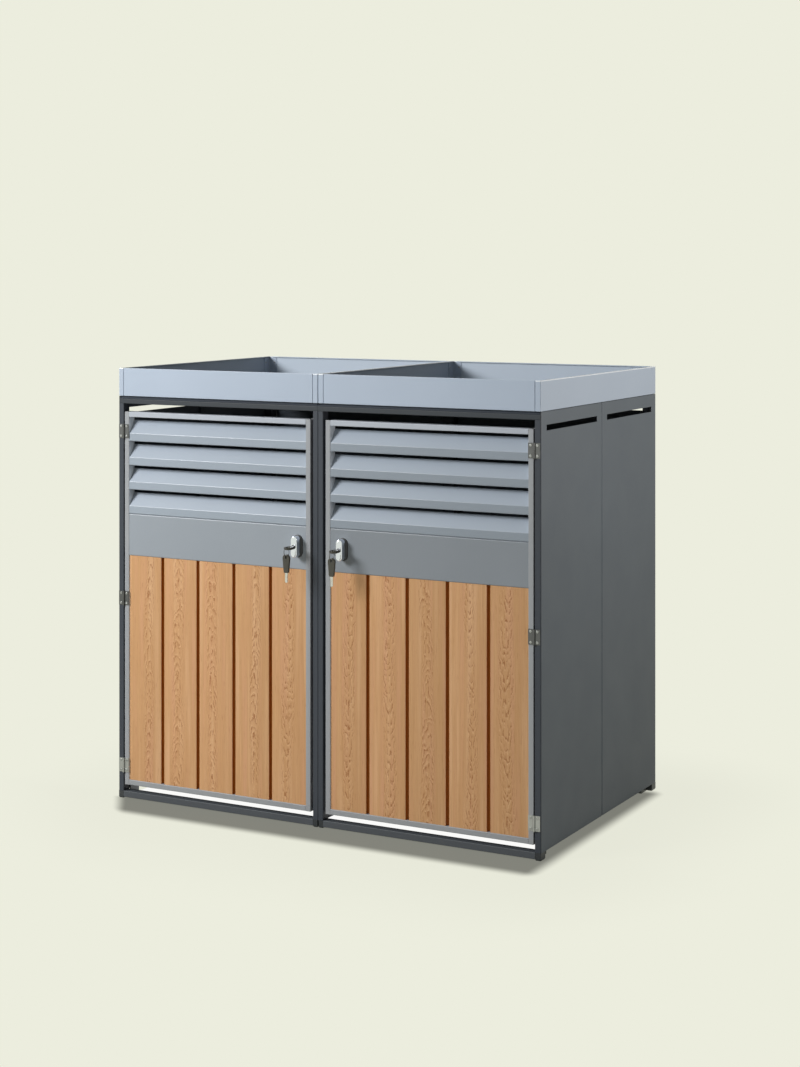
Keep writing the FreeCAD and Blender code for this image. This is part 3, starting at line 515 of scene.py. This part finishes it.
def finish_lock(side):
    """A chromed grip with a dark steel core on a black rosette, and a zinc nut behind the lock panel. The
    core's dark steel is its own metal and partly painted shade under the key's head.
    """
    low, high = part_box(f"{side}_lock_case")
    axis = (low + high) / 2
    nut_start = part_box(f"{side}_lock_panel")[0].y + NUT_START
    core_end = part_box(f"{side}_knob")[0].y + CORE_END

    def in_core(middle):
        return math.hypot(middle.x - axis.x, middle.z - axis.z) < CORE_REACH and middle.y < core_end

    paint(f"{side}_lock_case", "black", "zinc", rule=lambda middle: middle.y > nut_start)
    paint(f"{side}_knob", "chrome", "steel", rule=in_core)


def finish_keys(side):
    """Dark plastic heads, bright blades and a dark steel ring, upright and in line with the lock's axis."""
    head_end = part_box(f"{side}_key")[0].y + KEY_HEAD_END
    paint(f"{side}_key", "key_head", "bright", rule=lambda middle: middle.y > head_end)
    low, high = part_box(f"{side}_spare_key")
    case_low, case_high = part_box(f"{side}_lock_case")
    axis = (case_low.x + case_high.x) / 2

    def which(middle):
        if middle.z < low.z + SPARE_BLADE_END:
            return 1
        return 2 if middle.z > high.z - RING_END and abs(middle.x - axis) < RING_HALF_WIRE else 0

    paint(f"{side}_spare_key", "key_head", "bright", "steel", rule=which)


finish_plain_nodes()
finish_front_panels()
finish_tray_backs()
finish_door_frames()
finish_infill()
finish_hinges()
for side in SIDES:
    finish_lock(side)
    finish_keys(side)


# Pieces in place of plain CAD nodes

def piece(name, bm, body, replaced, slot):
    """Places a mesh on a body, in place of a CAD node. Its slot is named after its finish."""
    mesh = bpy.data.meshes.new(name)
    bm.to_mesh(mesh)
    bm.free()
    mesh.materials.append(materials[slot])
    obj = bpy.data.objects.new(name, mesh)
    bpy.context.scene.collection.objects.link(obj)
    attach(obj, body)
    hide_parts(replaced)


def join_rings(bm, first, second, smooth=False):
    """Faces between two rings with the same count of corners."""
    count = len(first)
    for i in range(count):
        j = (i + 1) % count
        bm.faces.new((first[i], first[j], second[j], second[i])).smooth = smooth


# Door boards

BOARD_ARRIS = 1.6 * MM         # radius of a board's rounded edges
ARRIS_STEPS = 5                # flats round such an edge
TONGUE = 4.0 * MM              # thickness of the tongue in a groove
SHARP_TURN = math.radians(40)  # edges that turn by more are shaded sharp


def arris(centre_x, centre_y, start):
    """Points in plan on a board's rounded edge, a quarter turn on from an angle in degrees."""
    points = []
    for i in range(ARRIS_STEPS + 1):
        angle = math.radians(start + 90 * i / ARRIS_STEPS)
        points.append((centre_x + BOARD_ARRIS * math.cos(angle), centre_y + BOARD_ARRIS * math.sin(angle)))
    return points


def board_outline(start, front, back, has_tongue):
    """A board of the left door in plan, from its outer edge at start."""
    end = start + BOARD_FACE
    outline = [(start, back)]
    outline += arris(start + BOARD_ARRIS, front + BOARD_ARRIS, 180)
    outline += arris(end - BOARD_ARRIS, front + BOARD_ARRIS, 270)
    if not has_tongue:
        return outline + [(end, back)]
    tip = end + BOARD_GROOVE
    return outline + [(end, back - TONGUE), (tip, back - TONGUE), (tip, back)]


def closed_prism(bm, outline, low, high):
    """A solid between two heights with the given outline in plan. Its walls are shaded smooth."""
    lower = [bm.verts.new((x, y, low)) for x, y in outline]
    upper = [bm.verts.new((x, y, high)) for x, y in outline]
    join_rings(bm, lower, upper, smooth=True)
    bm.faces.new(lower[::-1])
    bm.faces.new(upper)


def sharpen(bm):
    """Shades the edges sharp where the surface turns most. It needs the normals of the faces."""
    for edge in bm.edges:
        if len(edge.link_faces) == 2 and edge.calc_face_angle(0) > SHARP_TURN:
            edge.smooth = False


def door_boards(side):
    """Boards with softened arrises, and a tongue from each into the groove beside the next."""
    low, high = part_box(f"{side}_door_boards")
    bm = bmesh.new()
    for i in range(BOARD_COUNT):
        start = BOARDS_LOW.x + i * BOARD_PITCH
        outline = board_outline(start, low.y, high.y, has_tongue=i < BOARD_COUNT - 1)
        if side == "right":
            outline = [(-x, y) for x, y in reversed(outline)]
        closed_prism(bm, outline, low.z, high.z)
    bmesh.ops.recalc_face_normals(bm, faces=bm.faces)
    sharpen(bm)
    piece(f"{side}_oak_boards", bm, f"{side}_door", f"{side}_door_boards", "oak")


# Screws

SCREW_HEAD = 1.2 * MM          # height of a hinge screw's head
SCREW_SHANK = 1.6 * MM         # radius of its shank
SCREW_CORNERS = 32             # corners round a screw
HEAD_ROUNDING = (0.55, 0.3)    # most of a head's height and of its radius that its rounding takes
RECESS_ARM = 0.62              # length of the cross recess's arms, as a share of the head's radius
RECESS_HALF_WIDTH = 0.13       # half their width, as a share of it too
RECESS_DEPTH = 0.62            # as a share of the head's height
RECESS_TAPER = 0.7             # size of its floor to the size of its mouth
THREAD_STEPS = 12              # ridges and grooves along a shank
THREAD_ROOT = 0.82             # a groove's radius, as a share of the shank's
SHANK_TIP = 0.6                # the same at the shank's end
WELD = 1e-6                    # corners closer than this are one


def circle(bm, radius, y):
    """A ring of corners round the screw's axis, which is Y."""
    turns = [2 * math.pi * i / SCREW_CORNERS for i in range(SCREW_CORNERS)]
    return [bm.verts.new((radius * math.cos(turn), y, radius * math.sin(turn))) for turn in turns]


def ring_edges(bm, ring):
    """The edges between the corners of a ring."""
    return [bm.edges.get(pair) for pair in zip(ring, ring[1:] + ring[:1])]


def cross_recess(bm, radius, height, turn):
    """A cross that narrows into the head, turned by this many degrees. It gives the ring round its mouth."""
    arm, half = RECESS_ARM * radius, RECESS_HALF_WIDTH * radius
    quarter = [(arm, -half), (arm, half), (half, half)]
    cross = []
    for step in range(4):
        angle = math.radians(90 * step + turn)
        cross += [(u * math.cos(angle) - v * math.sin(angle), u * math.sin(angle) + v * math.cos(angle))
                  for u, v in quarter]
    floor_y = RECESS_DEPTH * height - height
    upper = [bm.verts.new((u, -height, v)) for u, v in cross]
    lower = [bm.verts.new((RECESS_TAPER * u, floor_y, RECESS_TAPER * v)) for u, v in cross]
    join_rings(bm, upper, lower)
    bm.faces.new(lower)
    return upper


def screw_head(bm, radius, height, turn):
    """A pan head along -Y, open at its seat. It gives the seat's ring of corners."""
    of_height, of_radius = HEAD_ROUNDING
    rim = min(of_height * height, of_radius * radius)
    rings = [circle(bm, radius, 0.0)]
    for angle in (0, 30, 60, 90):
        reach = radius - rim + rim * math.cos(math.radians(angle))
        rise = height - rim + rim * math.sin(math.radians(angle))
        rings.append(circle(bm, reach, -rise))
    for lower, upper in zip(rings, rings[1:]):
        join_rings(bm, lower, upper, smooth=True)
    recess = cross_recess(bm, radius, height, turn)
    bmesh.ops.triangle_fill(bm, edges=ring_edges(bm, rings[-1]) + ring_edges(bm, recess),
                            use_beauty=True, use_dissolve=False, normal=(0, -1, 0))
    return rings[0]


def screw_shank(bm, seat, radius, length):
    """A threaded shank from the seat's ring of corners, with a narrower tip."""
    rings = [seat, circle(bm, radius, 0.0)]
    for step in range(1, THREAD_STEPS + 1):
        reach = radius * (THREAD_ROOT if step % 2 else 1.0)
        if step == THREAD_STEPS:
            reach *= SHANK_TIP
        rings.append(circle(bm, reach, length * step / THREAD_STEPS))
    for outer, inner in zip(rings, rings[1:]):
        join_rings(bm, outer, inner)
    bm.faces.new(rings[-1])


def screws(name, body, seats, radius, height, length=0.0):
    """One piece with a screw at each seat: (point, direction that the head faces)."""
    bm = bmesh.new()
    for i, (point, facing) in enumerate(seats):
        made_before = len(bm.verts)
        seat = screw_head(bm, radius, height, turn=(37 * i) % 90)
        if length:
            screw_shank(bm, seat, SCREW_SHANK, length)
        else:
            bm.faces.new(seat)
        aim = Vector((0, -1, 0)).rotation_difference(Vector(facing)).to_matrix().to_4x4()
        bmesh.ops.transform(bm, matrix=Matrix.Translation(point) @ aim, verts=list(bm.verts)[made_before:])
    bmesh.ops.recalc_face_normals(bm, faces=bm.faces)
    piece(f"{name}_detailed", bm, body, name, "zinc")


def islands(name):
    """The lowest and highest corner of each separate solid in a CAD node."""
    bm = bmesh.new()
    bm.from_mesh(nodes[name].data)
    bmesh.ops.remove_doubles(bm, verts=bm.verts, dist=WELD)
    seen = set()
    boxes = []
    for vert in bm.verts:
        if vert in seen:
            continue
        group = [vert]
        seen.add(vert)
        for member in group:
            for edge in member.link_edges:
                other = edge.other_vert(member)
                if other not in seen:
                    seen.add(other)
                    group.append(other)
        low = Vector([min(v.co[k] for v in group) for k in range(3)])
        high = Vector([max(v.co[k] for v in group) for k in range(3)])
        boxes.append((low, high))
    bm.free()
    return boxes


def hinge_screws(name, body):
    """Screws through the hinge leaves, where the CAD screws are."""
    seats = []
    for low, high in islands(name):
        size, middle = high - low, (low + high) / 2
        seats.append((Vector((middle.x, low.y + SCREW_HEAD, middle.z)), (0, -1, 0)))
    screws(name, body, seats, size.x / 2, SCREW_HEAD, size.y - SCREW_HEAD)


def tray_screws():
    """Screws of the corner angles, each facing into its tray."""
    name = "tray_corner_screws"
    store_middle = (STORE_FRONT + cad_high.y) / 2
    seats = []
    for low, high in islands(name):
        size, middle = high - low, (low + high) / 2
        on_end_wall = size.y < size.x
        if on_end_wall:
            way = 1 if middle.y < store_middle else -1
            seats.append((Vector((middle.x, low.y if way > 0 else high.y, middle.z)), (0, way, 0)))
            radius, height = size.x / 2, size.y
        else:
            on_outer_wall = abs(middle.x) > HALF_WIDTH / 2
            way = math.copysign(1, -middle.x if on_outer_wall else middle.x)
            seats.append((Vector((low.x if way > 0 else high.x, middle.y, middle.z)), (way, 0, 0)))
    screws(name, "cabinet", seats, radius, height)


for side in SIDES:
    door_boards(side)
    hinge_screws(f"{side}_door_hinge_screws", f"{side}_door")
hinge_screws("post_hinge_screws", "cabinet")
tray_screws()


# The stage: a pale floor that runs out into a pale surround, soft light and the camera

FLOOR_REACH = 30.0             # from the middle of the store to the floor's edges

# The shadow on the floor, which lies forward and leans to the right
SHADOW_AHEAD = 0.09            # how far in front of the store it ends
SHADOW_SHORT = 0.066           # how far before the store's back it ends
SHADOW_EDGE = 0.055            # width of its soft edge
SHADOW_TONE = 0.26             # brightness beside the store
SHADOW_LEAN = 0.78             # how far its left end moves right, for each metre to the front
SHADOW_STEP = (0.028, 0.085)   # how far that end lies inside the store's left side, in front and behind
STEP_RUN = 0.08                # depth over which one turns into the other
LAMP_SHADOW = 0.07             # share of the lamps' own shadows that shows beside the store
LAMP_SHADOW_RUN = (0.05, 0.6)  # distance from the shadow over which that share fades out

# The white strip of painted light that is seen under the doors, inside the store's footprint
STRIP_MARGIN = 0.06            # from its right end to the store's side
STRIP_LEAN = 0.1               # how much further its left end reaches, at the front
STRIP_SLOPE = 0.5              # how much less that is, for each metre behind the front
STRIP_TURN = 0.1               # how far behind the front it stops getting less
STRIP_EDGE = 0.03              # from its front edge to the store's front
STRIP_LEAST = 0.004            # the least margin at either end
STRIP_FADE = (0.22, 0.42)      # from the front, where the strip fades out


def seen_rays(n):
    """1 for rays from the camera, and for those that metal and glass pass on."""
    rays = n.add("ShaderNodeLightPath").outputs
    seen = n.math("MAXIMUM", rays["Is Camera Ray"], rays["Is Glossy Ray"])
    return n.math("MAXIMUM", seen, rays["Is Transmission Ray"])


def beyond(n, point, ahead=0.0, short=0.0):
    """How far a point lies outside the store's footprint on each axis, with its front and back moved."""
    near, far = STORE_FRONT - ahead, STORE_BACK - short
    centre = (0, (near + far) / 2, 0)
    half = (HALF_WIDTH, (far - near) / 2, 0)
    from_centre = n.vector("ABSOLUTE", n.vector("SUBTRACT", point, centre))
    return n.vector("SUBTRACT", from_centre, half)


def shadow_distance(n, place, leftness):
    """How far a place on the floor lies outside the store's leaning shadow."""
    x, y, _ = n.axes(place)
    forward = n.math("MAXIMUM", n.math("SUBTRACT", STORE_FRONT, y), 0.0)
    step = n.smooth(y, STORE_FRONT, STORE_FRONT + STEP_RUN, *SHADOW_STEP)
    push = n.product(n.math("MULTIPLY_ADD", forward, SHADOW_LEAN, step), leftness)
    leaning = n.add("ShaderNodeCombineXYZ", {"X": n.math("SUBTRACT", x, push), "Y": y}).outputs[0]
    outside = n.vector("MAXIMUM", beyond(n, leaning, SHADOW_AHEAD, SHADOW_SHORT), (0, 0, 0))
    return n.add("ShaderNodeVectorMath", {0: outside}, operation="LENGTH").outputs["Value"]


def painted_light_under_doors(n, place, leftness):
    """1 on the white strip of painted light, and 0 elsewhere."""
    y = n.axes(place)[1]
    depth = n.math("MINIMUM", n.math("SUBTRACT", y, STORE_FRONT), STRIP_TURN)
    reach = n.math("SUBTRACT", STRIP_LEAN, n.product(depth, STRIP_SLOPE))
    margin = n.math("SUBTRACT", STRIP_MARGIN, n.product(reach, leftness))
    outside_x, outside_y, _ = n.axes(beyond(n, place))
    end = n.total(outside_x, n.math("MAXIMUM", margin, STRIP_LEAST))
    inside = n.math("LESS_THAN", n.math("MAXIMUM", end, n.total(outside_y, STRIP_EDGE)), 0.0)
    fade_start, fade_end = STRIP_FADE
    return n.product(inside, n.smooth(y, STORE_FRONT + fade_start, STORE_FRONT + fade_end, 1.0, 0.0))


def floor_material():
    """The surround's cream with the shadow and the white strip of painted light, over a plain floor that the
    lamps light.
    """
    n = new_material("floor_pale")
    place = n.position()
    x = n.axes(place)[0]
    # 1 at the store's left side and 0 at its right
    leftness = n.math("MULTIPLY_ADD", x, -0.5 / HALF_WIDTH, 0.5)
    away = shadow_distance(n, place, leftness)
    tone = n.smooth(away, 0.0, SHADOW_EDGE, SHADOW_TONE, 1.0)
    shadowed = n.add("ShaderNodeVectorMath", {0: CREAM[:3], "Scale": tone}, operation="SCALE").outputs[0]
    lit = n.add("ShaderNodeBsdfDiffuse", {"Color": FLOOR_GREY}).outputs[0]
    drawn = n.add("ShaderNodeEmission", {"Color": shadowed, "Strength": 1.0}).outputs[0]
    white = n.add("ShaderNodeEmission", {"Color": PAINTED_LIGHT_WHITE, "Strength": 1.0}).outputs[0]
    seen = seen_rays(n)
    lamps_show = n.smooth(away, *LAMP_SHADOW_RUN, LAMP_SHADOW, 0.0)
    covered = n.product(n.math("SUBTRACT", 1.0, lamps_show), seen)
    open_floor = n.add("ShaderNodeMixShader", {0: covered, 1: lit, 2: drawn}).outputs[0]
    # painted light seen under the doors, where the floor is in shade
    strip = n.product(painted_light_under_doors(n, place, leftness), seen)
    return n.finish(n.add("ShaderNodeMixShader", {0: strip, 1: open_floor, 2: white}))


def floor():
    """A large pale floor with the store's shadow close by. Further out it is the surround's colour."""
    mesh = bpy.data.meshes.new("floor")
    corners = [(-FLOOR_REACH, -FLOOR_REACH, 0), (FLOOR_REACH, -FLOOR_REACH, 0),
               (FLOOR_REACH, FLOOR_REACH, 0), (-FLOOR_REACH, FLOOR_REACH, 0)]
    mesh.from_pydata(corners, [], [(0, 1, 2, 3)])
    mesh.materials.append(floor_material())
    obj = bpy.data.objects.new("floor", mesh)
    bpy.context.scene.collection.objects.link(obj)


def surround():
    """Soft even light, brighter from above, that is seen as the pale colour behind the store."""
    world = bpy.data.worlds.new("surround")
    bpy.context.scene.world = world
    n = Nodes(world, "ShaderNodeOutputWorld")
    way = n.add("ShaderNodeTexCoord").outputs["Generated"]
    strength = n.remap(n.axes(way)[2], low=-0.2, high=1.0, start=0.03, end=0.36)
    light = n.add("ShaderNodeBackground", {"Color": (0.96, 0.98, 1.0, 1.0), "Strength": strength}).outputs[0]
    look = n.add("ShaderNodeBackground", {"Color": CREAM}).outputs[0]
    n.finish(n.add("ShaderNodeMixShader", {0: seen_rays(n), 1: light, 2: look}))


def lamp(name, place, target, size, power, colour=(1, 1, 1)):
    """A soft lamp of size (width, height) aimed at a point."""
    light = bpy.data.lights.new(name, "AREA")
    light.shape = "RECTANGLE"
    light.size, light.size_y = size
    light.energy = power
    light.color = colour
    obj = bpy.data.objects.new(name, light)
    bpy.context.scene.collection.objects.link(obj)
    obj.location = place
    obj.rotation_euler = (Vector(target) - Vector(place)).to_track_quat("-Z", "Y").to_euler()
    obj.visible_camera = False


def camera():
    """The photograph's viewpoint by a perspective fit: level, turned left, the picture shifted down."""
    data = bpy.data.cameras.new("camera")
    data.sensor_width = 36.0
    data.lens = 67.287
    data.shift_x = -0.04472
    data.shift_y = -0.25485
    obj = bpy.data.objects.new("camera", data)
    bpy.context.scene.collection.objects.link(obj)
    obj.location = (2.8275, -5.0289, 1.5448)
    obj.rotation_euler = (math.radians(90), 0, math.radians(27.495))
    bpy.context.scene.camera = obj


floor()
surround()
lamp("key_light", place=(-2.5, -3.2, 2.8), target=(-0.3, -0.3, 0.9), size=(1.4, 1.4), power=185)
lamp("fill_light", place=(2.3, 0.2, 1.12), target=(0.67, 0.0, 2.8), size=(2.0, 0.24), power=28,
     colour=(1.0, 0.96, 0.94))
camera()

bpy.context.scene.view_settings.view_transform = "Standard"
